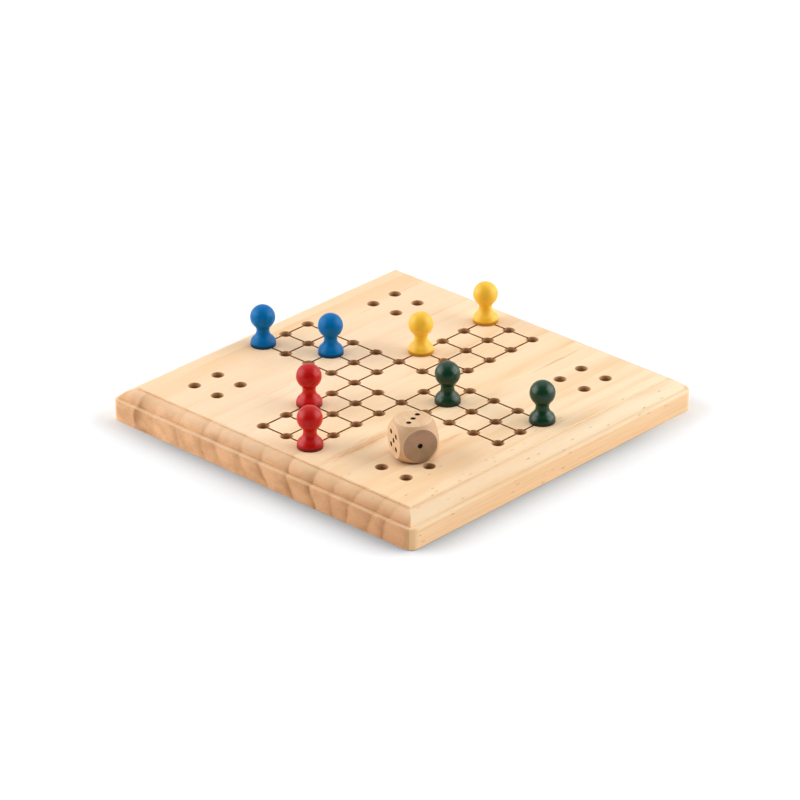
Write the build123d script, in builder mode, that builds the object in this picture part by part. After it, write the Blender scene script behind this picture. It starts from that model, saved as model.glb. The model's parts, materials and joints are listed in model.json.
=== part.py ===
"""Wooden ludo game: a moulded pine board with peg holes, eight turned pawns and a die.

Millimetres, +Z up. The origin is the centre of the board's underside.
"""
from build123d import *
import math
import os

# Board slab
board_side = 180.0
board_thickness = 15.4
corner_radius = 4.4

# Edge moulding, from the wall inwards: a ledge, an ovolo and a small upright step
ledge_width = 2.3
ovolo_width = 6.0
ovolo_depth = 4.3
step_height = 1.1
rim_easing = 0.8
rim_share_of_ledge = 0.7
base_easing = 0.4
top_easing = 0.25

# Track and home holes; the drilled pattern sits a little off the board's centre
hole_pitch = 14.1
hole_diameter = 5.5
hole_depth = 9.0
arm_reach = 5
arm_half_width = 1
home_centre = 4
pattern_shift_x = -0.7
pattern_shift_y = -0.7
line_width = 0.8
line_depth = 0.5

# Turned pawn, measured from the face that its base stands on
pawn_height = 19.2
head_diameter = 11.2
waist_diameter = 5.8
waist_height = 7.1
base_diameter = 11.5
base_rim_height = 0.9
peg_clearance = 0.3
peg_length = 8.0
peg_tip_chamfer = 0.6

# Die, with its corners turned round by a sphere
die_size = 17.6
die_corner_diameter = 23.4
die_x = 51.3
die_y = -47.6
die_turn = -27.0
pip_diameter = 2.0
pip_depth = 0.6
pip_spacing = 3.0

# Where the pawns stand, in hole pitches from the centre of the track
pawn_places = {
    "pawn_blue_1": (-5, -1),
    "pawn_blue_2": (-3, 0),
    "pawn_red_1": (-1, -3),
    "pawn_red_2": (1, -5),
    "pawn_yellow_1": (-1, 2),
    "pawn_yellow_2": (-1, 5),
    "pawn_green_1": (2, 0),
    "pawn_green_2": (5, 1),
}

# Sizes that follow from the ones above
half_side = board_side / 2
moulding_width = ledge_width + ovolo_width
wall_height = board_thickness - ovolo_depth - step_height
step_foot = board_thickness - step_height
peg_diameter = hole_diameter - 2 * peg_clearance
pattern_plane = Plane((pattern_shift_x, pattern_shift_y, board_thickness))


def track_holes():
    """Grid places of the cross: four arms and the ring round the bare centre."""
    reach = range(-arm_reach, arm_reach + 1)
    cross = [(i, j) for i in reach for j in reach if min(abs(i), abs(j)) <= arm_half_width]
    return [place for place in cross if place != (0, 0)]


def track_lines():
    """Straight lines of the track along one axis: (offset, start, end) in hole pitches."""
    lines = []
    for offset in range(-arm_reach, arm_reach + 1):
        if offset == 0:
            lines.append((offset, -arm_reach, -1))
            lines.append((offset, 1, arm_reach))
        elif abs(offset) <= arm_half_width:
            lines.append((offset, -arm_reach, arm_reach))
        else:
            lines.append((offset, -arm_half_width, arm_half_width))
    return lines


def edge_profile():
    """Half of the board's cross-section, from its middle to the moulded edge, mirrored."""
    ledge_inner = (half_side - ledge_width, wall_height)
    ovolo_top = (half_side - moulding_width, step_foot)
    with BuildLine() as outline:
        Polyline((0, 0), (half_side, 0), (half_side, wall_height), ledge_inner)
        TangentArc(ovolo_top, ledge_inner, tangent=(1, 0))
        Polyline(ovolo_top, (half_side - moulding_width, board_thickness), (0, board_thickness))
        mirror(about=Plane.YZ)
    return outline.line


# Board: the moulding runs along both axes, so it meets in mitres at the corners
with BuildPart() as board:
    with BuildSketch(Plane.XZ):
        with BuildLine():
            add(edge_profile())
        make_face()
    extrude(amount=half_side, both=True)
    with BuildSketch(Plane.YZ):
        with BuildLine():
            add(edge_profile())
        make_face()
    extrude(amount=half_side, both=True, mode=Mode.INTERSECT)
    with BuildSketch():
        RectangleRounded(board_side, board_side, corner_radius)
    extrude(amount=board_thickness, mode=Mode.INTERSECT)

    # Sanded edges; the ledge is narrowest at a corner, and that limits the rim's easing
    corner_ledge = ledge_width * math.sqrt(2) - corner_radius * (math.sqrt(2) - 1)
    flat_faces = board.faces().filter_by(Plane.XY).sort_by(Axis.Z)
    fillet(flat_faces[1].outer_wire().edges(), min(rim_easing, rim_share_of_ledge * corner_ledge))
    chamfer(board.faces().sort_by(Axis.Z)[0].outer_wire().edges(), base_easing)
    fillet(board.faces().sort_by(Axis.Z)[-1].outer_wire().edges(), top_easing)

    # Engraved lines of the track
    with BuildSketch(pattern_plane):
        for offset, start, end in track_lines():
            length = (end - start) * hole_pitch
            middle = (start + end) / 2 * hole_pitch
            with Locations((middle, offset * hole_pitch)):
                Rectangle(length, line_width)
            with Locations((offset * hole_pitch, middle)):
                Rectangle(line_width, length)
    extrude(amount=-line_depth, mode=Mode.SUBTRACT)

    # Peg holes of the track and of the four homes
    with Locations(pattern_plane):
        with Locations([(i * hole_pitch, j * hole_pitch) for i, j in track_holes()]):
            Hole(hole_diameter / 2, hole_depth)
        with GridLocations(2 * home_centre * hole_pitch, 2 * home_centre * hole_pitch, 2, 2):
            with GridLocations(hole_pitch, hole_pitch, 2, 2):
                Hole(hole_diameter / 2, hole_depth)


def make_pawn(place):
    """One turned pawn with its peg in the hole at the given grid place."""
    base_radius = base_diameter / 2
    waist_radius = waist_diameter / 2
    head_radius = head_diameter / 2
    peg_radius = peg_diameter / 2
    head_centre = pawn_height - head_radius

    # The bell is a shoulder and a cove of one radius that meet halfway
    bell_middle = ((base_radius + waist_radius) / 2, (base_rim_height + waist_height) / 2)
    # The neck's cove leaves the waist upright and runs smoothly into the round head
    rise = head_centre - waist_height
    cove = (waist_radius**2 + rise**2 - head_radius**2) / (2 * (head_radius - waist_radius))
    share = head_radius / (head_radius + cove)
    neck_top = ((waist_radius + cove) * share, head_centre - rise * share)

    x = pattern_shift_x + place[0] * hole_pitch
    y = pattern_shift_y + place[1] * hole_pitch
    stand = Plane((x, y, board_thickness))
    with BuildPart() as pawn:
        with BuildSketch(Plane(stand.origin, x_dir=(1, 0, 0), z_dir=(0, -1, 0))):
            with BuildLine():
                Polyline(
                    (0, pawn_height),
                    (0, -peg_length),
                    (peg_radius - peg_tip_chamfer, -peg_length),
                    (peg_radius, peg_tip_chamfer - peg_length),
                    (peg_radius, 0),
                    (base_radius, 0),
                    (base_radius, base_rim_height),
                )
                TangentArc((base_radius, base_rim_height), bell_middle, tangent=(0, 1))
                TangentArc((waist_radius, waist_height), bell_middle, tangent=(0, -1))
                TangentArc((waist_radius, waist_height), neck_top, tangent=(0, 1))
                TangentArc((0, pawn_height), neck_top, tangent=(1, 0))
            make_face()
        revolve(axis=Axis(stand.origin, (0, 0, 1)))
    return pawn.part


def pip_places(count):
    """Pip centres of one die face, measured from the face's centre."""
    diagonal = [(-1, 1), (1, -1)]
    other_diagonal = [(1, 1), (-1, -1)]
    places = [(0, 0)] if count % 2 else []
    if count > 1:
        places += diagonal
    if count > 3:
        places += other_diagonal
    if count == 6:
        places += [(-1, 0), (1, 0)]
    return [(u * pip_spacing, v * pip_spacing) for u, v in places]


# Die: a cube turned round by a sphere, with drilled pips that add up to seven across
die_plane = Plane((die_x, die_y, board_thickness + die_size / 2)).rotated((0, 0, die_turn))
pip_faces = {1: (1, 0, 0), 6: (-1, 0, 0), 2: (0, 1, 0), 5: (0, -1, 0), 3: (0, 0, 1), 4: (0, 0, -1)}
drilled_in = (Align.CENTER, Align.CENTER, Align.MAX)
with BuildPart(die_plane) as die:
    Box(die_size, die_size, die_size)
    Sphere(die_corner_diameter / 2, mode=Mode.INTERSECT)
    for count, outwards in pip_faces.items():
        across = (0, 0, 1) if outwards[2] == 0 else (1, 0, 0)
        face_middle = Vector(outwards) * (die_size / 2)
        with Locations(Plane(face_middle, x_dir=across, z_dir=outwards)):
            with Locations(pip_places(count)):
                Cone(0, pip_diameter / 2, pip_depth, align=drilled_in, mode=Mode.SUBTRACT)

# Every finished piece is one node
os.makedirs("parts", exist_ok=True)
pieces = {"board": board.part, "die": die.part}
for name, place in pawn_places.items():
    pieces[name] = make_pawn(place)
for name, piece in pieces.items():
    piece.label = name
    export_step(piece, f"parts/{name}.step")
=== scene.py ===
"""Looks of a wooden ludo game: a lacquered pine board, eight painted pawns and a plain die.

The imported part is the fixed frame, and every finish is laid over it. Lengths are in metres,
apart from values whose names end in _mm. +Z is up, and the board's grain runs along Y.
"""

import json
import logging
import math
from dataclasses import dataclass, field
from enum import Enum
from functools import reduce
from typing import Any

import bmesh
import bpy
from mathutils import Matrix, Quaternion, Vector

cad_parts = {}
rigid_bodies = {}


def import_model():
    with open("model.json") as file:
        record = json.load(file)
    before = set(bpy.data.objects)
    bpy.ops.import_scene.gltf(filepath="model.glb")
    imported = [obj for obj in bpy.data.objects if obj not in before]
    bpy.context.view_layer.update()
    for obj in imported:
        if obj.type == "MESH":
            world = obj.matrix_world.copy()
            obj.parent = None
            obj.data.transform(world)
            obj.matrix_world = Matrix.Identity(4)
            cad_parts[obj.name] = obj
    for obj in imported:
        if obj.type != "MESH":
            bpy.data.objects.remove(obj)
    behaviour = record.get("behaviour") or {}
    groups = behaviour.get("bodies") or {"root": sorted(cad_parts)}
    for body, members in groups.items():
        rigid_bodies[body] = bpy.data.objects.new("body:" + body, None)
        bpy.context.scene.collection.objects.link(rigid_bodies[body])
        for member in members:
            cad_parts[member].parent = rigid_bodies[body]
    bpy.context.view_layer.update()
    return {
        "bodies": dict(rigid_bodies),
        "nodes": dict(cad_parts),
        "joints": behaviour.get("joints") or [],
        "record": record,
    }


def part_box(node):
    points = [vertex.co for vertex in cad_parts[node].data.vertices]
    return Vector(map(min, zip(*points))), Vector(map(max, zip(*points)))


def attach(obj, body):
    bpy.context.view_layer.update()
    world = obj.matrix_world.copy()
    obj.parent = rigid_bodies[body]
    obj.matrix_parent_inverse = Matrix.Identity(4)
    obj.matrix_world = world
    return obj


log = logging.getLogger("ludo")

MM = 0.001
WHITE = (1.0, 1.0, 1.0, 1.0)

Node = bpy.types.Node
Pair = tuple[float, float]
Triple = tuple[float, float, float]
# A fade's start and end, and the values that it gives before the one and after the other
Fade = tuple[float, float, float, float]


def linear(code: str) -> tuple[float, float, float, float]:
    """Turns an sRGB hex colour into the linear colour that shaders and lamps use.

    Args:
        code: A colour such as "#E8C89A".

    Returns:
        Red, green, blue and an alpha of 1.
    """
    shares = [int(code[i : i + 2], 16) / 255 for i in (1, 3, 5)]
    red, green, blue = (s / 12.92 if s <= 0.04045 else ((s + 0.055) / 1.055) ** 2.4 for s in shares)
    return red, green, blue, 1.0


def add_node(
    tree: bpy.types.NodeTree,
    kind: str,
    inputs: dict[int | str, Any] | None = None,
    stops: list[tuple[float, tuple[float, ...]]] | None = None,
    **settings: Any,
) -> Node:
    """Adds one node with its settings and links.

    Args:
        tree: The node tree that gets it.
        kind: The node's type name.
        inputs: What goes into each input: a value, a socket, or a node for its first live output.
        stops: Places and colours of a colour ramp.
        settings: Properties of the node.

    Returns:
        The new node.
    """
    node = tree.nodes.new(kind)
    for name, value in settings.items():
        setattr(node, name, value)
    for key, value in (inputs or {}).items():
        if isinstance(value, Node):
            value = next(output for output in value.outputs if output.enabled)
        if isinstance(value, bpy.types.NodeSocket):
            tree.links.new(value, node.inputs[key])
        else:
            node.inputs[key].default_value = value
    if stops:
        ramp = node.color_ramp
        for place, _ in stops[2:]:
            ramp.elements.new(place)
        for element, (place, colour) in zip(ramp.elements, stops):
            element.position = place
            element.color = colour
    return node


@dataclass(frozen=True)
class Figure:
    """Uneven marks in wood or paint: their length each way, and how they fade in."""

    size_mm: Triple
    fade: Fade = (0.35, 0.7, 0.0, 1.0)
    detail: float = 2.0
    seed: float = 0.0


@dataclass
class Mix:
    """A material while it is mixed: its node tree, and places on the piece in millimetres."""

    name: str
    material: bpy.types.Material = field(init=False)
    tree: bpy.types.NodeTree = field(init=False)
    place: Node = field(init=False)
    facing: bpy.types.NodeSocket = field(init=False)

    def __post_init__(self) -> None:
        """Makes an empty material and reads the place and the facing of each point."""
        self.material = bpy.data.materials.new(self.name)
        self.material.use_nodes = True
        self.tree = self.material.node_tree
        self.tree.nodes.clear()
        coordinates = add_node(self.tree, "ShaderNodeTexCoord")
        self.facing = coordinates.outputs["Normal"]
        inputs = {0: coordinates.outputs["Object"], "Scale": 1 / MM}
        self.place = add_node(self.tree, "ShaderNodeVectorMath", inputs, operation="SCALE")

    def sum_of(self, operation: str, *values: Any) -> Node:
        """Works out one sum, such as "ADD" or "MULTIPLY", of numbers and sockets."""
        return add_node(self.tree, "ShaderNodeMath", dict(enumerate(values)), operation=operation)

    def product(self, *factors: Any) -> Node:
        """Multiplies two or more shares, from the first to the last."""
        return reduce(lambda done, factor: self.sum_of("MULTIPLY", done, factor), factors)

    def ramp(self, value: Any, start: Any, end: Any, low: float = 0.0, high: float = 1.0) -> Node:
        """Turns a value smoothly from low at start to high at end."""
        inputs = {"Value": value, "From Min": start, "From Max": end, "To Min": low, "To Max": high}
        return add_node(self.tree, "ShaderNodeMapRange", inputs, interpolation_type="SMOOTHSTEP")

    def figure(self, figure: Figure) -> Node:
        """Makes an uneven value from 0 to 1.

        Args:
            figure: The marks' size, detail and seed.

        Returns:
            The node that gives it.
        """
        inputs = {0: self.place, 1: tuple(1 / size for size in figure.size_mm), 2: (figure.seed,) * 3}
        stretched = add_node(self.tree, "ShaderNodeVectorMath", inputs, operation="MULTIPLY_ADD")
        inputs = {"Vector": stretched, "Scale": 1.0, "Detail": figure.detail}
        return add_node(self.tree, "ShaderNodeTexNoise", inputs)

    def marks(self, figure: Figure) -> Node:
        """Share of the surface that a figure's marks take at each point."""
        return self.ramp(self.figure(figure), *figure.fade)

    def blend(self, share: Any, under: Any, over: Any) -> Node:
        """Lays one colour over another by a share from 0 to 1."""
        return add_node(self.tree, "ShaderNodeMix", {0: share, 6: under, 7: over}, data_type="RGBA")

    def relief(self, height: Any, depth_mm: float, under: Any = None) -> Node:
        """Raises the surface.

        Args:
            height: Where it rises, from 0 to 1.
            depth_mm: How far it rises where that is 1.
            under: A relief that this one lies on.

        Returns:
            The node that gives the surface's direction.
        """
        inputs = {"Strength": 1.0, "Distance": depth_mm * MM, "Height": height}
        if under is not None:
            inputs["Normal"] = under
        return add_node(self.tree, "ShaderNodeBump", inputs)

    def finish(self, **inputs: Any) -> bpy.types.Material:
        """Ends the material with one surface.

        Args:
            inputs: The surface's inputs, with _ for a space in their names.

        Returns:
            The finished material.
        """
        named = {key.replace("_", " "): value for key, value in inputs.items()}
        surface = add_node(self.tree, "ShaderNodeBsdfPrincipled", named)
        add_node(self.tree, "ShaderNodeOutputMaterial", {"Surface": surface})
        return self.material


@dataclass
class BoardMix(Mix):
    """The board's material while it is mixed, with where each point lies on the board."""

    top_mm: float
    x: bpy.types.NodeSocket = field(init=False)
    y: bpy.types.NodeSocket = field(init=False)
    z: bpy.types.NodeSocket = field(init=False)
    upward: bpy.types.NodeSocket = field(init=False)
    depth: Node = field(init=False)
    sides: list[Node] = field(init=False)
    outwards: Node = field(init=False)

    def __post_init__(self) -> None:
        """Works out each point's depth under the top and its distances from the middle."""
        super().__post_init__()
        at = add_node(self.tree, "ShaderNodeSeparateXYZ", {0: self.place})
        self.x, self.y, self.z = (at.outputs[axis] for axis in "XYZ")
        self.upward = add_node(self.tree, "ShaderNodeSeparateXYZ", {0: self.facing}).outputs["Z"]
        self.depth = self.sum_of("SUBTRACT", self.top_mm, self.z)
        self.sides = [self.sum_of("ABSOLUTE", part) for part in (self.x, self.y)]
        self.outwards = self.sum_of("MAXIMUM", *self.sides)


@dataclass(frozen=True)
class ResinStreak:
    """One thin resin streak on the board's top."""

    x_mm: float
    y_mm: float
    length_mm: float
    width_mm: float
    darkness: float


@dataclass(frozen=True)
class LacqueredPine:
    """Solid radiata pine, planed, moulded and sanded, under a thin satin lacquer.

    The faces along the grain are pale with soft bands and short resin flecks. The sawn ends
    drink more lacquer, so they are orange-brown, and the same rings stand nearly upright there.
    The track's lines are burnt in, which browns the wood beside them and round the holes.
    Pores on the ends are drawn five times and flecks about twice their real width, to show.
    """

    board: "Board"
    top_mm: float
    half_side_mm: float
    pale: tuple[tuple[float, str], ...] = (
        (-75.0, "#FDDCB6"),
        (-30.0, "#FEE2C1"),
        (20.0, "#FDE1BB"),
        (75.0, "#FEE3BF"),
        (88.0, "#FFEBCB"),
    )
    late_wood: str = "#EDB87C"
    side_grain: str = "#F6CB9B"
    # Lighter wood with painted light, for the right corners' roundings and the ends beside them
    corner_wood: str = "#FFD29C"
    end_pale_left: str = "#F4C090"
    end_pale: str = "#DDA77A"
    end_late: str = "#9A6539"
    # Painted shade for the moulding's inner corners
    end_mottle: str = "#D09B70"
    corner_shade: str = "#9A6A3E"
    bored: str = "#DDB489"
    # Painted shade deep in the holes; the bored wood turns to it as it goes down
    bored_shaded: str = "#9A6840"
    scorched: str = "#4C2106"
    singed: str = "#D08A3C"
    singed_mm: float = 0.25
    rim_mm: float = 0.3
    singed_darkness: float = 0.9
    fleck: str = "#A06A30"
    resin: str = "#D69A5C"
    pith_mm: float = -66.0
    ring_edge_mm: float = 0.9
    late_wood_power: float = 2.4
    waver: Figure = Figure((60.0, 150.0, 30.0), seed=7.0)
    waver_mm: float = 7.0
    ripple: Figure = Figure((5.0, 30.0, 4.0), seed=2.0)
    ripple_mm: float = 3.2
    # Each growth ring's place across the top in mm, and its darkness
    rings: tuple[Pair, ...] = (
        (-75.8, 0.8), (-63.0, 0.3), (-49.0, 0.35), (-35.0, 0.45), (-27.0, 0.4),
        (-14.0, 0.35), (-2.0, 0.7), (15.0, 0.7), (30.0, 1.0), (43.0, 0.6),
        (56.5, 0.85), (69.0, 0.5), (76.5, 0.7), (91.0, 0.55),
    )
    streaks: tuple[ResinStreak, ...] = (
        ResinStreak(-34.5, -44.0, 22.0, 0.7, 0.55),
        ResinStreak(-61.5, 42.0, 20.0, 0.7, 0.4),
        ResinStreak(-36.5, 56.0, 50.0, 0.8, 0.3),
        ResinStreak(-64.0, 72.0, 18.0, 1.2, 0.4),
        ResinStreak(-20.0, -74.0, 12.0, 0.6, 0.4),
        ResinStreak(35.5, 62.0, 44.0, 2.4, 0.5),
        ResinStreak(28.5, -52.0, 64.0, 7.5, 0.45),
        ResinStreak(30.0, -58.0, 44.0, 2.6, 0.4),
        ResinStreak(52.0, -27.0, 26.0, 4.0, 0.4),
    )
    # How far the rings lean at a place across the top, in mm for each mm down
    leans: tuple[Pair, ...] = (
        (-80.0, 0.0), (-45.0, 0.25), (0.0, 0.65), (30.0, 0.5),
        (43.0, 0.25), (56.0, -0.3), (75.0, -0.15), (90.0, 0.0),
    )
    front_slant: float = -0.6
    front_late_wood: Fade = (45.0, 115.0, 0.0, 0.25)
    coming: Figure = Figure((18.0, 70.0, 18.0), (0.3, 0.65, 0.2, 0.75), seed=3.0)
    cloud: Figure = Figure((9.0, 60.0, 9.0), (0.42, 0.75, 0.0, 0.5), 3.0, 13.0)
    right_part: Fade = (-40.0, 50.0, 0.0, 1.0)
    right_clouds: Fade = (0.0, 1.0, 0.3, 1.0)
    side_grain_reach_mm: float = 1.5
    side_grain_share: float = 0.8
    fibres: Figure = Figure((0.6, 34.0, 0.6), detail=3.0)
    fibre_mm: float = 0.03
    hairs: Fade = (0.35, 0.75, 0.0, 0.14)
    side_hairs: Fade = (0.4, 0.75, 0.0, 0.3)
    streak_depth_mm: float = 4.0
    streak_fade: Pair = (1.0, 0.2)
    fray: Figure = Figure((0.8, 7.0, 4.0), seed=29.0)
    fray_reach: float = 1.6
    fleck_cell_mm: Triple = (2.4, 11.0, 2.4)
    fleck_dash: Pair = (0.16, 0.05)
    fleck_slant: float = -0.2
    fleck_choice: Fade = (50.0, 92.0, 0.96, 0.1)
    fleck_darkness: float = 0.45
    mottle: Figure = Figure((7.0, 25.0, 5.0), (0.35, 0.7, 0.0, 0.7), 3.0, 19.0)
    blotch: Figure = Figure((8.0, 25.0, 6.0), (0.35, 0.65, 0.5, 1.0), 3.0, 41.0)
    pores: Figure = Figure((0.5, 14.0, 0.5), (0.55, 0.8, 0.0, 0.4), seed=17.0)
    end_ahead: Pair = (-0.2, 0.2)
    end_below: Pair = (0.02, 2.0)
    end_above: Pair = (-0.8, -0.4)
    end_slant: Fade = (0.0, 0.6, 0.5, 1.0)
    corner_start_mm: float = 5.0
    corner_full_mm: float = 1.5
    # How far the painted corner light reaches onto the end, and where the side's long grain, lit the
    # same way, takes over
    lit_beside_corner: Fade = (-6.0, -1.4, 0.0, 0.4)
    corner_beyond: Fade = (-1.4, -1.0, 0.0, 0.95)
    # Patches, strength on the ends and reach of the painted shade in the moulding's inner corners
    corner_shade_patches: Figure = Figure((5.0, 5.0, 5.0), (0.35, 0.65, 0.1, 1.0), 3.0, 37.0)
    corner_shade_on_ends: Fade = (0.0, 1.0, 0.04, 0.35)
    corner_shade_reach: Fade = (0.1, 0.6, 1.0, 0.0)
    bored_shade_fade: Pair = (0.2, 3.5)
    soot: Figure = Figure((1.2, 1.2, 1.2), (0.3, 0.7, 1.0, 0.8), seed=23.0)
    skin_mm: float = 0.04
    slack_mm: float = 0.05
    above_base_mm: float = 0.5
    line_slack: float = 0.04
    hole_slack: float = 0.3
    home_slack: float = 0.8
    roughness: Fade = (0.0, 1.0, 0.45, 0.62)
    shine: float = 0.15

    def across(self, mm: float) -> float:
        """Where a place across the board lies, from 0 at the left edge to 1 at the right."""
        return mm / (2 * self.half_side_mm) + 0.5

    def share_across(self, mix: BoardMix, mm: Any) -> Node:
        """The same for each point of the surface."""
        return mix.sum_of("MULTIPLY_ADD", mm, 1 / (2 * self.half_side_mm), 0.5)

    def ring_stops(self) -> list[tuple[float, tuple[float, ...]]]:
        """Sets out the rings across the board: wood darkens outwards, then starts pale again.

        Returns:
            Places and greys of a colour ramp.
        """
        stops = []
        for edge_mm, darkness in self.rings:
            late = darkness ** (1 / self.late_wood_power)
            before, after = (late, 0.0) if edge_mm > self.pith_mm else (0.0, late)
            for side, dark in ((-1, before), (1, after)):
                place = self.across(edge_mm + side * self.ring_edge_mm)
                stops.append((place, (dark, dark, dark, 1.0)))
        return stops

    def make(self, name: str) -> bpy.types.Material:
        """Mixes the pine.

        Args:
            name: The material's name.

        Returns:
            The material.
        """
        mix = BoardMix(name, self.top_mm)
        rings = self.ring_pattern(mix)
        fibres = mix.figure(self.fibres)
        endness = self.end_share(mix)
        wood = mix.blend(endness, self.face_colour(mix, rings, fibres), self.end_colour(mix, rings))
        # Painted light on the right corners' roundings, which turn away from the lamps
        wood = mix.blend(self.corner_lit_share(mix), wood, linear(self.corner_wood))
        # Painted shade in the moulding's inner corners
        wood = self.paint_corner_shade(mix, wood, endness)
        asides = self.line_asides(mix)
        wood = mix.blend(self.singed_share(mix, asides), wood, linear(self.singed))
        cut = self.cut_share(mix)
        return mix.finish(
            Base_Color=mix.blend(cut, wood, self.cut_colour(mix, asides)),
            Roughness=mix.sum_of("MAXIMUM", mix.ramp(endness, *self.roughness), cut),
            Specular_IOR_Level=self.shine,
            Normal=mix.relief(fibres, self.fibre_mm),
        )

    def ring_pattern(self, mix: BoardMix) -> Node:
        """Makes the growth rings, which waver, and lean as they go down.

        Args:
            mix: The pine while it is mixed.

        Returns:
            A value from 0 in early wood to 1 in late wood.
        """
        stops = [(self.across(mm), (*[lean + 0.5] * 3, 1.0)) for mm, lean in self.leans]
        inputs = {0: self.share_across(mix, mix.x)}
        leaning = add_node(mix.tree, "ShaderNodeValToRGB", inputs, stops=stops)
        slide = mix.product(mix.sum_of("SUBTRACT", leaning, 0.5), mix.depth)
        moved = mix.sum_of("SUBTRACT", mix.x, slide)
        for figure, reach_mm in ((self.waver, self.waver_mm), (self.ripple, self.ripple_mm)):
            uneven = mix.sum_of("SUBTRACT", mix.figure(figure), 0.5)
            moved = mix.sum_of("MULTIPLY_ADD", uneven, reach_mm, moved)
        inputs = {0: self.share_across(mix, moved)}
        bands = add_node(mix.tree, "ShaderNodeValToRGB", inputs, stops=self.ring_stops())
        return mix.sum_of("POWER", bands, self.late_wood_power)

    def end_share(self, mix: BoardMix) -> Node:
        """Tells the sawn ends from the faces along the grain.

        Args:
            mix: The pine while it is mixed.

        Returns:
            1 where the grain is cut square, and part of that where the moulding slants across it.
        """
        ahead = mix.ramp(mix.sum_of("SUBTRACT", mix.sides[1], mix.sides[0]), *self.end_ahead)
        below = mix.ramp(mix.depth, *self.end_below)
        above = mix.ramp(mix.upward, *self.end_above)
        upright = mix.sum_of("SUBTRACT", 1.0, mix.sum_of("ABSOLUTE", mix.upward))
        return mix.product(ahead, below, mix.product(above, mix.ramp(upright, *self.end_slant)))

    def face_colour(self, mix: BoardMix, rings: Node, fibres: Node) -> Node:
        """Colours the faces along the grain, with late wood lines that come and go.

        Args:
            mix: The pine while it is mixed.
            rings: The growth rings.
            fibres: The fine figure along the grain.

        Returns:
            The colour.
        """
        late_wood, resin = linear(self.late_wood), linear(self.resin)
        stops = [(self.across(mm), linear(code)) for mm, code in self.pale]
        inputs = {0: self.share_across(mix, mix.x)}
        face = add_node(mix.tree, "ShaderNodeValToRGB", inputs, stops=stops)
        forward = mix.sum_of("MULTIPLY_ADD", mix.y, self.front_slant, mix.x)
        face = mix.blend(mix.ramp(forward, *self.front_late_wood), face, late_wood)
        lines = mix.product(rings, mix.marks(self.coming))
        rightness = mix.ramp(mix.x, *self.right_part)
        clouds = mix.product(mix.marks(self.cloud), mix.ramp(rightness, *self.right_clouds))
        face = mix.blend(mix.sum_of("MAXIMUM", lines, clouds), face, late_wood)
        for streak in self.streaks:
            face = mix.blend(self.streak_share(mix, streak), face, resin)
        start = self.board.moulding_depth_mm
        side = mix.ramp(mix.depth, start, start + self.side_grain_reach_mm, 0.0, self.side_grain_share)
        face = mix.blend(side, face, linear(self.side_grain))
        face = mix.blend(mix.ramp(fibres, *self.hairs), face, late_wood)
        face = mix.blend(mix.product(side, mix.ramp(fibres, *self.side_hairs)), face, resin)
        return mix.blend(self.fleck_share(mix), face, linear(self.fleck))

    def streak_share(self, mix: BoardMix, streak: ResinStreak) -> Node:
        """Places one resin streak, which is frayed and fades out at both ends.

        Args:
            mix: The pine while it is mixed.
            streak: Its place, size and darkness.

        Returns:
            Share of resin at each point.
        """
        inputs = {0: mix.place, 1: (streak.x_mm, streak.y_mm, self.top_mm)}
        aside = add_node(mix.tree, "ShaderNodeVectorMath", inputs, operation="SUBTRACT")
        size = (2 / streak.width_mm, 2 / streak.length_mm, 1 / self.streak_depth_mm)
        scaled = add_node(mix.tree, "ShaderNodeVectorMath", {0: aside, 1: size}, operation="MULTIPLY")
        away = add_node(mix.tree, "ShaderNodeVectorMath", {0: scaled}, operation="LENGTH")
        fray = mix.sum_of("MULTIPLY_ADD", mix.figure(self.fray), self.fray_reach, -self.fray_reach / 2)
        frayed = mix.sum_of("ADD", away.outputs["Value"], fray)
        return mix.ramp(frayed, *self.streak_fade, 0.0, streak.darkness)

    def fleck_share(self, mix: BoardMix) -> Node:
        """Scatters flecks 0.5 mm wide and 2.3 mm long, most of them on the front right part.

        Args:
            mix: The pine while it is mixed.

        Returns:
            Share of resin at each point.
        """
        inputs = {0: mix.place, 1: tuple(1 / size for size in self.fleck_cell_mm)}
        stretched = add_node(mix.tree, "ShaderNodeVectorMath", inputs, operation="MULTIPLY")
        cells = add_node(mix.tree, "ShaderNodeTexVoronoi", {"Vector": stretched, "Scale": 1.0})
        dash = mix.ramp(cells.outputs["Distance"], *self.fleck_dash)
        forward = mix.sum_of("MULTIPLY_ADD", mix.y, self.fleck_slant, mix.x)
        often = mix.ramp(forward, *self.fleck_choice)
        chosen = mix.sum_of("GREATER_THAN", cells.outputs["Color"], often)
        return mix.product(dash, chosen, self.fleck_darkness)

    def end_colour(self, mix: BoardMix, rings: Node) -> Node:
        """Colours the sawn ends, with rings, mottling and open pores.

        Args:
            mix: The pine while it is mixed.
            rings: The growth rings.

        Returns:
            The colour.
        """
        rightness = mix.ramp(mix.x, -self.half_side_mm, self.half_side_mm)
        end = mix.blend(rightness, linear(self.end_pale_left), linear(self.end_pale))
        end = mix.blend(mix.marks(self.mottle), end, linear(self.end_mottle))
        late = linear(self.end_late)
        end = mix.blend(mix.product(rings, mix.marks(self.blotch)), end, late)
        return mix.blend(mix.marks(self.pores), end, late)

    def corner_lit_share(self, mix: BoardMix) -> Node:
        """Finds where the side's long grain wraps round the board's right corners, where light is
        painted on the rounding and on the end beside it.

        Args:
            mix: The pine while it is mixed.

        Returns:
            Share of the lighter corner colour at each point: long grain with painted light on it.
        """
        start, full = (self.half_side_mm - mm for mm in (self.corner_start_mm, self.corner_full_mm))
        corner = mix.ramp(mix.sum_of("MINIMUM", *mix.sides), start, full)
        rightwards = mix.sum_of("SUBTRACT", mix.x, mix.sides[1])
        beside = mix.ramp(rightwards, *self.lit_beside_corner)
        beyond = mix.ramp(rightwards, *self.corner_beyond)
        return mix.product(corner, mix.sum_of("MAXIMUM", beside, beyond))

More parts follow.
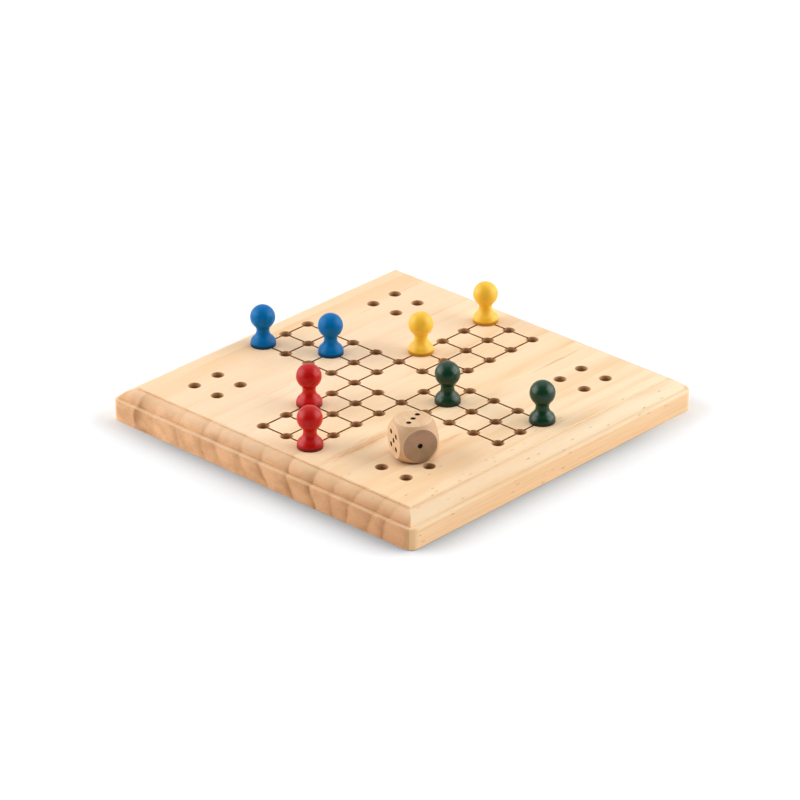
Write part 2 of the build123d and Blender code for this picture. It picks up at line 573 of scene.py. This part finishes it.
    def paint_corner_shade(self, mix: BoardMix, wood: Node, endness: Node) -> Node:
        """Paints shade into the moulding's inner corners, in patches.

        Args:
            mix: The pine while it is mixed.
            wood: The colour so far.
            endness: 1 on the sawn ends, where the painted shade is stronger.

        Returns:
            The colour with the painted corner shade.
        """
        board = self.board
        most = mix.product(mix.marks(self.corner_shade_patches), mix.ramp(endness, *self.corner_shade_on_ends))
        for inwards_mm, corner_depth_mm in (
            (board.ledge_mm, board.moulding_depth_mm),
            (board.moulding_mm, board.riser_mm),
        ):
            aside = mix.sum_of("SUBTRACT", mix.outwards, self.half_side_mm - inwards_mm)
            under = mix.sum_of("SUBTRACT", mix.depth, corner_depth_mm)
            near = mix.sum_of("MAXIMUM", mix.sum_of("ABSOLUTE", aside), mix.sum_of("ABSOLUTE", under))
            share = mix.product(mix.ramp(near, *self.corner_shade_reach), most)
            wood = mix.blend(share, wood, linear(self.corner_shade))
        return wood

    def cut_share(self, mix: BoardMix) -> Node:
        """Finds what is cut into the top: the walls and floors of the lines and holes.

        Args:
            mix: The pine while it is mixed.

        Returns:
            1 there and 0 elsewhere.
        """
        edge = self.half_side_mm - self.board.moulding_mm - 2 * self.slack_mm
        inside = mix.sum_of("LESS_THAN", mix.outwards, edge)
        low = mix.sum_of("GREATER_THAN", mix.depth, self.skin_mm)
        return mix.product(inside, low, mix.sum_of("GREATER_THAN", mix.z, self.above_base_mm))

    def line_asides(self, mix: BoardMix) -> list[Node]:
        """Measures how far each point lies from the nearest line of the track's grid.

        Args:
            mix: The pine while it is mixed.

        Returns:
            The distances in millimetres, both ways.
        """
        half = self.board.hole_pitch_mm / 2
        asides = []
        for part in (mix.x, mix.y):
            moved = mix.sum_of("SUBTRACT", part, self.board.pattern_shift_mm)
            asides.append(mix.sum_of("ABSOLUTE", mix.sum_of("WRAP", moved, half, -half)))
        return asides

    def singed_share(self, mix: BoardMix, asides: list[Node]) -> Node:
        """Browns the top beside the burnt lines and round the rims of the holes.

        Args:
            mix: The pine while it is mixed.
            asides: Distances from the track's grid.

        Returns:
            Share of the singed colour at each point.
        """
        board = self.board
        reaches = []
        for part in (mix.x, mix.y):
            moved = mix.sum_of("ABSOLUTE", mix.sum_of("SUBTRACT", part, board.pattern_shift_mm))
            reaches.append(mix.sum_of("DIVIDE", moved, board.hole_pitch_mm))
        widest = mix.sum_of("MAXIMUM", *reaches)
        least = mix.sum_of("MINIMUM", *reaches)

        half = board.line_width_mm / 2
        nearest = mix.sum_of("MINIMUM", *asides)
        line = mix.ramp(nearest, half, half + self.singed_mm, self.singed_darkness, 0.0)
        singed = mix.product(line, self.on_track(mix, widest, least, self.line_slack))

        at_home = mix.product(
            mix.sum_of("GREATER_THAN", least, board.home_centre - self.home_slack),
            mix.sum_of("LESS_THAN", widest, board.home_centre + self.home_slack),
        )
        between = [mix.sum_of("SUBTRACT", board.hole_pitch_mm / 2, aside) for aside in asides]
        on_track = self.on_track(mix, widest, least, self.hole_slack)
        radius = board.hole_radius_mm
        for place, where in ((asides, on_track), (between, at_home)):
            squares = [mix.sum_of("MULTIPLY", part, part) for part in place]
            away = mix.sum_of("SQRT", mix.sum_of("ADD", *squares))
            rim = mix.ramp(away, radius, radius + self.rim_mm, self.singed_darkness, 0.0)
            singed = mix.sum_of("MAXIMUM", singed, mix.product(rim, where))
        return mix.product(singed, mix.sum_of("LESS_THAN", mix.depth, self.skin_mm))

    def on_track(self, mix: BoardMix, widest: Node, least: Node, slack: float) -> Node:
        """Tells the track's cross from the rest of the top and from its bare centre.

        Args:
            mix: The pine while it is mixed.
            widest: The greater distance from the centre of the track, in pitches.
            least: The smaller one.
            slack: How far past its outer holes the track still counts, in pitches.

        Returns:
            1 on the track and 0 elsewhere.
        """
        board = self.board
        in_arm = mix.sum_of("LESS_THAN", least, board.arm_half_width + slack)
        in_reach = mix.sum_of("LESS_THAN", widest, board.arm_reach + slack)
        off_centre = mix.sum_of("GREATER_THAN", widest, board.arm_half_width - slack)
        return mix.product(in_arm, in_reach, off_centre)

    def cut_colour(self, mix: BoardMix, asides: list[Node]) -> Node:
        """Colours what is cut in: scorched lines, and bored wood with painted shade that deepens as it
        goes down.

        Args:
            mix: The pine while it is mixed.
            asides: Distances from the track's grid.

        Returns:
            The colour.
        """
        board = self.board
        nearest = mix.sum_of("MINIMUM", *asides)
        on_line = mix.sum_of("LESS_THAN", nearest, board.line_width_mm / 2 + self.slack_mm)
        beyond_hole = mix.sum_of("GREATER_THAN", mix.sum_of("MAXIMUM", *asides), board.hole_radius_mm)
        shallow = mix.sum_of("LESS_THAN", mix.depth, board.groove_depth_mm + self.slack_mm)
        # Painted shade that deepens down the holes
        hole_shade = mix.ramp(mix.depth, *self.bored_shade_fade)
        bored = mix.blend(hole_shade, linear(self.bored), linear(self.bored_shaded))
        burnt = mix.product(on_line, beyond_hole, shallow, mix.marks(self.soot))
        return mix.blend(burnt, bored, linear(self.scorched))


@dataclass(frozen=True)
class SatinPaint:
    """Satin enamel on turned beech, tumbled in a barrel.

    The wood's grain shows faintly through the film, which is rubbed through on the peg. Painted
    shade darkens the lower rim, where the foot meets the board. The shade, rim and peg fades
    are by height over the board's top.
    """

    colour: str
    shade: str
    # Painted shade along the lower rim, where the foot meets the board
    rim_shade: str
    gloss: float
    wood: str = "#D9B48A"
    roughness: Fade = (0.0, 1.0, 0.28, 0.36)
    cloud: Figure = Figure((5.0, 5.0, 7.0))
    cloud_share: float = 0.35
    rim_shade_fade: Fade = (2.0, 0.9, 0.0, 0.9)
    rim_fade: Fade = (-0.6, -0.1, 0.0, 1.0)
    peg_fade: Fade = (-0.2, -2.5, 0.0, 1.0)
    rubbing: Figure = Figure((1.4, 1.4, 3.5), (0.42, 0.55, 0.0, 1.0), 3.0, 4.0)
    grain: Figure = Figure((0.5, 0.5, 9.0), seed=9.0)
    grain_mm: float = 0.02
    peel: Figure = Figure((0.9, 0.9, 0.9), detail=1.0, seed=6.0)
    peel_mm: float = 0.012

    def make(self, name: str, board_top_mm: float) -> bpy.types.Material:
        """Mixes the paint.

        Args:
            name: The material's name.
            board_top_mm: Height of the board's top, below which lies the peg.

        Returns:
            The material.
        """
        mix = Mix(name)
        up = add_node(mix.tree, "ShaderNodeSeparateXYZ", {0: mix.place}).outputs["Z"]
        cloud = mix.marks(self.cloud)
        film = mix.blend(mix.product(cloud, self.cloud_share), linear(self.colour), linear(self.shade))
        rim_shaded, over_peg, peg = (
            mix.ramp(up, board_top_mm + start, board_top_mm + end, low, high)
            for start, end, low, high in (self.rim_shade_fade, self.rim_fade, self.peg_fade)
        )
        # Painted shade along the pawn's lower rim, above the peg
        film = mix.blend(mix.product(rim_shaded, over_peg), film, linear(self.rim_shade))
        bare = mix.product(mix.marks(self.rubbing), peg)
        grain = mix.relief(mix.figure(self.grain), self.grain_mm)
        return mix.finish(
            Base_Color=mix.blend(bare, film, linear(self.wood)),
            Roughness=mix.ramp(cloud, *self.roughness),
            Specular_IOR_Level=self.gloss,
            Normal=mix.relief(mix.figure(self.peel), self.peel_mm, grain),
        )


class PawnPaint(Enum):
    """The pawns' four enamels: colour, darker tint where it clouds, painted shade on the lower rim and
    gloss.
    """

    BLUE = SatinPaint("#0070B3", "#00609D", "#023558", 0.13)
    RED = SatinPaint("#C4110C", "#A90E09", "#6E0503", 0.26)
    YELLOW = SatinPaint("#FFCA3F", "#F8B72C", "#B0720E", 0.3)
    GREEN = SatinPaint("#07381F", "#052C18", "#02120B", 0.38)


@dataclass(frozen=True)
class SandedBeech:
    """Plain beech, sawn to a cube, rounded in a tumbler and left without lacquer.

    Short darker flecks run along the grain, and the two sawn ends are greyer. The lower
    roundings and the foot carry painted shade, and the edge round each face a painted highlight with
    wear.
    """

    centre_mm: Triple
    turn_deg: float
    half_size_mm: float
    corner_radius_mm: float
    face: str = "#E9C49A"
    face_dark: str = "#D3A67C"
    end: str = "#AE9270"
    end_pink: str = "#B99075"
    end_dark: str = "#90694A"
    rubbed: str = "#C39468"
    # Painted shade for the lower roundings and the foot
    under_shade: str = "#6B3F1E"
    # Painted highlight, with some wear, along the edge where each face meets its rounding
    worn_highlight: str = "#F5DCC0"
    ink: str = "#1B1512"
    flecks: Figure = Figure((9.0, 0.45, 0.45), detail=3.0)
    fleck_share: float = 0.45
    fleck_mm: float = 0.03
    drift: Figure = Figure((8.0, 6.0, 6.0), (0.3, 0.7, 0.0, 0.4), seed=3.0)
    patches: Figure = Figure((9.0, 5.0, 6.0), (0.4, 0.6, 0.0, 1.0), seed=12.0)
    end_dark_share: float = 0.8
    end_fade: Pair = (0.86, 0.95)
    rubbed_fade: Fade = (0.02, 0.3, 0.0, 0.5)
    under_shade_start: float = -0.6
    foot_shade_fade: Fade = (2.2, 0.3, 0.0, 0.85)
    worn_highlight_fade: Fade = (0.4, 0.03, 0.0, 0.15)
    pip_under_face: Pair = (0.02, 0.04)
    pip_under_round: Pair = (0.05, 0.07)
    roughness: float = 0.55

    def make(self, name: str) -> bpy.types.Material:
        """Mixes the beech.

        Args:
            name: The material's name.

        Returns:
            The material.
        """
        mix = Mix(name)
        inputs = {0: mix.place, 1: self.centre_mm}
        mix.place = add_node(mix.tree, "ShaderNodeVectorMath", inputs, operation="SUBTRACT")
        mix.place, facing = (
            add_node(
                mix.tree,
                "ShaderNodeVectorRotate",
                {"Vector": vector, "Angle": -math.radians(self.turn_deg)},
                rotation_type="Z_AXIS",
            )
            for vector in (mix.place, mix.facing)
        )
        along_grain = add_node(mix.tree, "ShaderNodeSeparateXYZ", {0: facing}).outputs["X"]
        flecks = mix.figure(self.flecks)
        marks = mix.ramp(flecks, *self.flecks.fade)
        tone = mix.sum_of("MULTIPLY_ADD", marks, self.fleck_share, mix.marks(self.drift))
        face = mix.blend(tone, linear(self.face), linear(self.face_dark))
        end = mix.blend(mix.marks(self.patches), linear(self.end), linear(self.end_pink))
        end = mix.blend(mix.product(tone, self.end_dark_share), end, linear(self.end_dark))
        wood = mix.blend(mix.ramp(mix.sum_of("ABSOLUTE", along_grain), *self.end_fade), face, end)
        return mix.finish(
            Base_Color=self.handle(mix, wood),
            Roughness=self.roughness,
            Normal=mix.relief(flecks, self.fleck_mm),
        )

    def handle(self, mix: Mix, wood: Node) -> Node:
        """Rubs the roundings, paints shade low down and a highlight round each face, and inks the pips.

        Args:
            mix: The beech while it is mixed.
            wood: Its clean colour.

        Returns:
            The colour with wear, painted shade and a painted highlight, and with ink in the pips.
        """
        parts = add_node(mix.tree, "ShaderNodeSeparateXYZ", {0: mix.place}).outputs
        widest = mix.sum_of("ABSOLUTE", parts["X"])
        for axis in "YZ":
            widest = mix.sum_of("MAXIMUM", widest, mix.sum_of("ABSOLUTE", parts[axis]))
        radius = add_node(mix.tree, "ShaderNodeVectorMath", {0: mix.place}, operation="LENGTH")
        half = self.half_size_mm
        under_face = mix.sum_of("SUBTRACT", half, widest)
        under_round = mix.sum_of("SUBTRACT", self.corner_radius_mm, radius.outputs["Value"])

        under_shade = linear(self.under_shade)
        rounding = mix.ramp(under_face, *self.rubbed_fade)
        wood = mix.blend(rounding, wood, linear(self.rubbed))
        # Painted shade on the lower roundings and round the foot
        low = mix.ramp(parts["Z"], self.under_shade_start * half, -half)
        wood = mix.blend(mix.product(rounding, low), wood, under_shade)
        start, end, least, most = self.foot_shade_fade
        wood = mix.blend(mix.ramp(parts["Z"], start - half, end - half, least, most), wood, under_shade)
        # Painted highlight, with some wear, where each face meets its rounding
        from_edge = mix.sum_of("MAXIMUM", under_face, under_round)
        wood = mix.blend(mix.ramp(from_edge, *self.worn_highlight_fade), wood, linear(self.worn_highlight))
        inside_round = mix.ramp(under_round, *self.pip_under_round)
        inside = mix.product(mix.ramp(under_face, *self.pip_under_face), inside_round)
        return mix.blend(inside, wood, linear(self.ink))


@dataclass(frozen=True)
class BlackLacquer:
    """Black lacquer, dropped into the pips with a rod, which leaves a soft shine and dimples."""

    colour: str = "#1C0E06"
    thin: str = "#362010"
    cloud: Figure = Figure((0.5, 0.5, 0.5), (0.4, 0.7, 0.0, 0.6))
    dimples: Figure = Figure((0.4, 0.4, 0.4), seed=5.0)
    dimple_mm: float = 0.02
    roughness: float = 0.5
    shine: float = 0.05

    def make(self, name: str) -> bpy.types.Material:
        """Mixes the lacquer.

        Args:
            name: The material's name.

        Returns:
            The material.
        """
        mix = Mix(name)
        return mix.finish(
            Base_Color=mix.blend(mix.marks(self.cloud), linear(self.colour), linear(self.thin)),
            Roughness=self.roughness,
            Specular_IOR_Level=self.shine,
            Normal=mix.relief(mix.figure(self.dimples), self.dimple_mm),
        )


@dataclass
class Board:
    """The pine board with its bored track and moulded edge."""

    node: str = "board"
    ledge_mm: float = 2.3
    moulding_mm: float = 8.3
    riser_mm: float = 1.1
    moulding_depth_mm: float = 5.4
    groove_depth_mm: float = 0.5
    line_width_mm: float = 0.8
    hole_pitch_mm: float = 14.1
    hole_radius_mm: float = 2.75
    pattern_shift_mm: float = -0.7
    arm_reach: int = 5
    arm_half_width: int = 1
    home_centre: int = 4

    def dress(self, frame: dict[str, Any]) -> float:
        """Lays the pine on the board.


        Returns:
            Height of the board's top in millimetres.
        """
        low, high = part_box(self.node)
        top_mm = high.z / MM
        pine = LacqueredPine(self, top_mm, (high.x - low.x) / 2 / MM)
        put_on(frame["nodes"][self.node], pine.make("lacquered_pine"))
        log.info("board: top at %.1f mm", top_mm)
        return top_mm


@dataclass
class Pawns:
    """The eight turned pawns."""

    prefix: str = "pawn_"

    def dress(self, frame: dict[str, Any], board_top_mm: float) -> None:
        """Paints each pawn in the colour that its name gives.

        Args:
            frame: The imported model.
            board_top_mm: Height of the board's top in millimetres.
        """
        paints = {}
        for paint in PawnPaint:
            paints[paint] = paint.value.make(f"{paint.name.lower()}_enamel", board_top_mm)
        for name, node in sorted(frame["nodes"].items()):
            if name.startswith(self.prefix):
                paint = PawnPaint[name.split("_")[1].upper()]
                put_on(node, paints[paint])
                log.info("%s: %s", name, paint.name.lower())


@dataclass
class Die:
    """The wooden die. A drop's profile is its radius and rise in mm, from the lip inwards."""

    node: str = "die"
    turn_deg: float = -27.0
    corner_diameter_mm: float = 23.4
    pip_spacing_mm: float = 3.0
    drop_steps: int = 24
    drop_floor_mm: float = -0.4
    drop_profile: tuple[Pair, ...] = (
        (1.16, -0.01), (1.12, 0.012), (1.02, 0.015), (0.94, -0.02),
        (0.75, -0.12), (0.5, -0.24), (0.25, -0.35),
    )
    pip_faces: dict[int, tuple[int, int, int]] = field(
        default_factory=lambda: {
            1: (1, 0, 0), 6: (-1, 0, 0), 2: (0, 1, 0),
            5: (0, -1, 0), 3: (0, 0, 1), 4: (0, 0, -1),
        }
    )

    def dress(self, frame: dict[str, Any]) -> None:
        """Lays the beech on the die.

        Args:
            frame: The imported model.
        """
        low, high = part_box(self.node)
        centre = (low + high) / 2 / MM
        half = (high.z - low.z) / 2 / MM
        beech = SandedBeech(tuple(centre), self.turn_deg, half, self.corner_diameter_mm / 2)
        put_on(frame["nodes"][self.node], beech.make("sanded_beech"))
        log.info("die: centre %s mm", tuple(round(c, 1) for c in centre))
        self.ink_pips(centre, half)

    def pip_places(self, count: int) -> list[Pair]:
        """Lays out one face.

        Args:
            count: How many pips it has.

        Returns:
            Their centres, measured from the face's centre in millimetres.
        """
        places = [(0.0, 0.0)] if count % 2 else []
        if count > 1:
            places += [(-1.0, 1.0), (1.0, -1.0)]
        if count > 3:
            places += [(1.0, 1.0), (-1.0, -1.0)]
        if count == 6:
            places += [(-1.0, 0.0), (1.0, 0.0)]
        return [(u * self.pip_spacing_mm, v * self.pip_spacing_mm) for u, v in places]

    def ink_pips(self, centre: Vector, half_mm: float) -> None:
        """Puts a drop of black lacquer in each drilled pip; its lip laps over the rim.

        Args:
            centre: The die's centre in millimetres.
            half_mm: Half of the die's size in millimetres.
        """
        turn = Matrix.Rotation(math.radians(self.turn_deg), 3, "Z")
        drops = bmesh.new()
        for count, outwards in self.pip_faces.items():
            out = Vector(outwards)
            across = Vector((1, 0, 0)) if outwards[2] else Vector((0, 0, 1))
            along = out.cross(across)
            for u, v in self.pip_places(count):
                middle = out * half_mm + across * u + along * v
                self.add_drop(drops, centre, turn, middle, out, across, along)
        mesh = bpy.data.meshes.new("pip_ink")
        drops.to_mesh(mesh)
        drops.free()
        for face in mesh.polygons:
            face.use_smooth = True
        ink = bpy.data.objects.new("pip_ink", mesh)
        bpy.context.scene.collection.objects.link(ink)
        mesh.materials.append(BlackLacquer().make("black_pip_lacquer"))
        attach(ink, self.node)
        log.info("pip_ink: %d drops", sum(self.pip_faces))

    def add_drop(
        self,
        drops: bmesh.types.BMesh,
        centre: Vector,
        turn: Matrix,
        middle: Vector,
        out: Vector,
        across: Vector,
        along: Vector,
    ) -> None:
        """Adds one dished drop: rings of points from its lip down to its middle.

        Args:
            drops: The mesh that gets it.
            centre: The die's centre in millimetres.
            turn: The die's turn about the upright.
            middle: The pip's centre on its face, seen from the die's centre.
            out: Direction out of the face.
            across: One direction in the face.
            along: The other direction in the face.
        """
        rings = []
        for radius, rise in self.drop_profile:
            ring = []
            for step in range(self.drop_steps):
                angle = 2 * math.pi * step / self.drop_steps
                aside = (across * math.cos(angle) + along * math.sin(angle)) * radius
                ring.append(drops.verts.new((centre + turn @ (middle + out * rise + aside)) * MM))
            rings.append(ring)
        for outer, inner in zip(rings, rings[1:]):
            for step in range(self.drop_steps):
                after = (step + 1) % self.drop_steps
                drops.faces.new((outer[step], outer[after], inner[after], inner[step]))
        bottom = drops.verts.new((centre + turn @ (middle + out * self.drop_floor_mm)) * MM)
        for step in range(self.drop_steps):
            drops.faces.new((rings[-1][step], rings[-1][(step + 1) % self.drop_steps], bottom))


def put_on(node: bpy.types.Object, material: bpy.types.Material) -> None:
    """Gives a node one material in all of its slots.

    Args:
        node: The piece.
        material: Its finish.
    """
    for place in node.material_slots:
        place.material = material
    if not node.material_slots:
        node.data.materials.append(material)


@dataclass
class Softbox:
    """A studio lamp with a large soft window, which looks at the middle of the board."""

    name: str
    azimuth_deg: float
    power: float
    elevation_deg: float = 27.0
    distance: float = 1.5
    width: float = 1.7
    height: float = 1.3

    def hang(self) -> None:
        """Makes the lamp."""
        lamp = bpy.data.lights.new(self.name, "AREA")
        lamp.shape = "RECTANGLE"
        lamp.size = self.width
        lamp.size_y = self.height
        lamp.energy = self.power
        hung = bpy.data.objects.new(self.name, lamp)
        towards = direction(self.azimuth_deg, self.elevation_deg)
        hung.location = towards * self.distance
        hung.rotation_mode = "QUATERNION"
        hung.rotation_quaternion = (-towards).to_track_quat("-Z", "Y")
        bpy.context.scene.collection.objects.link(hung)
        log.info("softbox %s", self.name)


def direction(azimuth_deg: float, elevation_deg: float) -> Vector:
    """Points from the object towards a place round it.

    Args:
        azimuth_deg: Degrees round the upright, with 0 on the -Y side.
        elevation_deg: Degrees above the floor.

    Returns:
        A vector of length 1.
    """
    azimuth, elevation = math.radians(azimuth_deg), math.radians(elevation_deg)
    level = math.cos(elevation)
    return Vector((math.sin(azimuth) * level, -math.cos(azimuth) * level, math.sin(elevation)))


@dataclass
class Studio:
    """White paper floor, pale room and soft lamps at both sides and overhead.

    The room is dark behind the camera, as in the photograph, so the sides of the pawns are
    lighter than their fronts. Pairs of numbers are the start and the end of a change.
    """

    camera_azimuth_deg: float = 43.6
    side_azimuth_deg: float = 92.0
    floor_half_size: float = 4.0
    opening_half_size: float = 0.0885
    floor_drop: float = 0.00002
    floor_paper: str = "#F5F7F9"
    floor_level: float = 1.06
    close_shadow: str = "#BFCEDA"
    shadow_reach: float = 0.035
    shadow_samples: int = 8
    shut_sky: Pair = (1.0, 0.5)
    bright_strip: float = 0.03
    bright_strip_shadow: float = 0.3
    backdrop: Pair = (0.3, 0.7)
    camera_side_level: float = 0.0
    far_side_level: float = 0.55
    far_side: Pair = (-0.5, 0.8)
    far_elevation_deg: float = 35.0
    under_floor_level: float = 0.8
    under_floor: Pair = (-0.1, -0.3)
    camera_elevation_deg: float = 27.0
    white_to_gloss: Pair = (0.7, 0.35)

    def build(self) -> None:
        """Makes the floor, the world and the lamps."""
        self.lay_floor()
        self.light_world()
        azimuth, aside = self.camera_azimuth_deg, self.side_azimuth_deg
        top = {"elevation_deg": 70.0, "distance": 1.4, "width": 1.0, "height": 0.6}
        for lamp in (
            Softbox("left_softbox", azimuth - aside, power=22.0),
            Softbox("right_softbox", azimuth + aside, power=22.5),
            Softbox("top_softbox", azimuth + 180, power=0.8, **top),
        ):
            lamp.hang()

    def lay_floor(self) -> None:
        """Lays white paper that shows clear white to the camera and keeps the board's shadow.

        The shadow is deepened close to the board, as it is in the photograph, but less at the two
        corners that face the softboxes. The far paper turns into an evenly white backdrop. The
        sheet is open under the board, so that the board's underside can be seen from below.
        """
        mesh = bpy.data.meshes.new("paper_floor")
        sheet = bmesh.new()
        corners = ((-1, -1), (1, -1), (1, 1), (-1, 1))
        outer, inner = (
            [sheet.verts.new((x * half, y * half, 0.0)) for x, y in corners]
            for half in (self.floor_half_size, self.opening_half_size)
        )
        for step in range(4):
            after = (step + 1) % 4
            sheet.faces.new((outer[step], outer[after], inner[after], inner[step]))
        sheet.to_mesh(mesh)
        sheet.free()
        floor = bpy.data.objects.new("paper_floor", mesh)
        floor.location.z = -self.floor_drop
        bpy.context.scene.collection.objects.link(floor)

        paper = bpy.data.materials.new("white_paper")
        paper.use_nodes = True
        tree = paper.node_tree
        tree.nodes.clear()
        rays = add_node(tree, "ShaderNodeLightPath")
        inputs = {"Distance": self.shadow_reach}
        sky = add_node(tree, "ShaderNodeAmbientOcclusion", inputs, samples=self.shadow_samples)
        start, end = self.shut_sky
        inputs = {"Value": sky.outputs["AO"], "From Min": start, "From Max": end}
        shut = add_node(tree, "ShaderNodeMapRange", inputs)
        place = add_node(tree, "ShaderNodeTexCoord").outputs["Object"]
        inputs = {0: place, 1: direction(self.camera_azimuth_deg, 0)}
        ahead = add_node(tree, "ShaderNodeVectorMath", inputs, operation="DOT_PRODUCT").outputs["Value"]
        aside = add_node(tree, "ShaderNodeMath", {0: ahead}, operation="ABSOLUTE")
        inputs = {"Value": aside, "From Max": self.bright_strip, "To Min": self.bright_strip_shadow}
        unlit = add_node(tree, "ShaderNodeMapRange", inputs)
        shade = add_node(tree, "ShaderNodeMath", {0: shut, 1: unlit}, operation="MULTIPLY")
        clear = (self.floor_level, self.floor_level, self.floor_level, 1.0)
        inputs = {0: shade, 6: clear, 7: linear(self.close_shadow)}
        seen = add_node(tree, "ShaderNodeMix", inputs, data_type="RGBA")
        inputs = {0: rays.outputs["Is Camera Ray"], 6: linear(self.floor_paper), 7: seen.outputs[2]}
        shown = add_node(tree, "ShaderNodeMix", inputs, data_type="RGBA")
        matt = add_node(tree, "ShaderNodeBsdfDiffuse", {"Color": shown.outputs[2]})

        away = add_node(tree, "ShaderNodeVectorMath", {0: place}, operation="LENGTH").outputs["Value"]
        inputs = {"Value": away, "From Min": self.backdrop[0], "From Max": self.backdrop[1]}
        far = add_node(tree, "ShaderNodeMapRange", inputs)
        inputs = {0: far, 1: rays.outputs["Is Camera Ray"]}
        backdrop_share = add_node(tree, "ShaderNodeMath", inputs, operation="MULTIPLY")
        backdrop = add_node(tree, "ShaderNodeEmission", {"Color": WHITE, "Strength": 1.0})
        surface = add_node(tree, "ShaderNodeMixShader", {0: backdrop_share, 1: matt, 2: backdrop})
        add_node(tree, "ShaderNodeOutputMaterial", {"Surface": surface})
        mesh.materials.append(paper)
        log.info("floor: %.0f m wide", 2 * self.floor_half_size)

    def light_world(self) -> None:
        """Lights the room from behind the board, and shows it white to the camera.

        Glossy surfaces reflect white walls at the sides and a dark one behind the camera.
        """
        world = bpy.data.worlds.new("pale_room")
        bpy.context.scene.world = world
        world.use_nodes = True
        tree = world.node_tree
        tree.nodes.clear()
        rays = add_node(tree, "ShaderNodeLightPath").outputs
        inputs = {0: rays["Is Camera Ray"], 1: rays["Is Transmission Ray"]}
        seen = add_node(tree, "ShaderNodeMath", inputs, operation="MAXIMUM")
        looking = add_node(tree, "ShaderNodeTexCoord").outputs["Generated"]
        behind = direction(self.camera_azimuth_deg + 180, self.far_elevation_deg)
        before = direction(self.camera_azimuth_deg, self.camera_elevation_deg)
        away, towards = (
            add_node(tree, "ShaderNodeVectorMath", {0: looking, 1: axis}, operation="DOT_PRODUCT")
            for axis in (behind, before)
        )
        inputs = {
            "Value": away.outputs["Value"],
            "From Min": self.far_side[0],
            "From Max": self.far_side[1],
            "To Min": self.camera_side_level,
            "To Max": self.far_side_level,
        }
        level = add_node(tree, "ShaderNodeMapRange", inputs, interpolation_type="SMOOTHSTEP")
        inputs = {
            "Value": add_node(tree, "ShaderNodeSeparateXYZ", {0: looking}).outputs["Z"],
            "From Min": self.under_floor[0],
            "From Max": self.under_floor[1],
            "To Max": self.under_floor_level,
        }
        below = add_node(tree, "ShaderNodeMapRange", inputs)
        start, end = self.white_to_gloss
        inputs = {"Value": towards.outputs["Value"], "From Min": start, "From Max": end}
        mirrored = add_node(tree, "ShaderNodeMapRange", inputs)
        inputs = {0: mirrored, 1: rays["Is Glossy Ray"]}
        mirrored = add_node(tree, "ShaderNodeMath", inputs, operation="MULTIPLY")
        for other in (below, mirrored):
            level = add_node(tree, "ShaderNodeMath", {0: level, 1: other}, operation="MAXIMUM")
        room = add_node(tree, "ShaderNodeBackground", {"Color": WHITE, "Strength": level})
        backdrop = add_node(tree, "ShaderNodeBackground", {"Color": WHITE, "Strength": 1.0})
        surface = add_node(tree, "ShaderNodeMixShader", {0: seen, 1: room, 2: backdrop})
        add_node(tree, "ShaderNodeOutputWorld", {"Surface": surface})
        log.info("world: level %.2f to %.2f", self.camera_side_level, self.far_side_level)


@dataclass
class PhotoCamera:
    """The camera, where the photograph was taken from."""

    azimuth_deg: float = 43.61
    elevation_deg: float = 26.75
    roll_deg: float = -0.38
    distance: float = 1.9293
    aim: Triple = (-0.00052, -0.00113, 0.00679)
    lens_mm: float = 198.48
    sensor_mm: float = 36.0

    def place(self) -> None:
        """Makes the camera and gives it to the scene."""
        lens = bpy.data.cameras.new("photo_camera")
        lens.lens = self.lens_mm
        lens.sensor_width = self.sensor_mm
        camera = bpy.data.objects.new("photo_camera", lens)
        towards = direction(self.azimuth_deg, self.elevation_deg)
        camera.location = Vector(self.aim) + towards * self.distance
        camera.rotation_mode = "QUATERNION"
        level = (-towards).to_track_quat("-Z", "Y")
        camera.rotation_quaternion = level @ Quaternion((0, 0, 1), math.radians(self.roll_deg))
        bpy.context.scene.collection.objects.link(camera)
        bpy.context.scene.camera = camera
        log.info("camera: %.0f mm lens at %.2f m", self.lens_mm, self.distance)


def main() -> None:
    """Loads the frame and dresses it, piece by piece."""
    logging.basicConfig(level=logging.INFO, format="%(name)s: %(message)s")
    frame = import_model()
    top_mm = Board().dress(frame)
    Pawns().dress(frame, top_mm)
    Die().dress(frame)
    Studio().build()
    PhotoCamera().place()
    bpy.context.scene.view_settings.view_transform = "Standard"


if __name__ == "__main__":
    main()
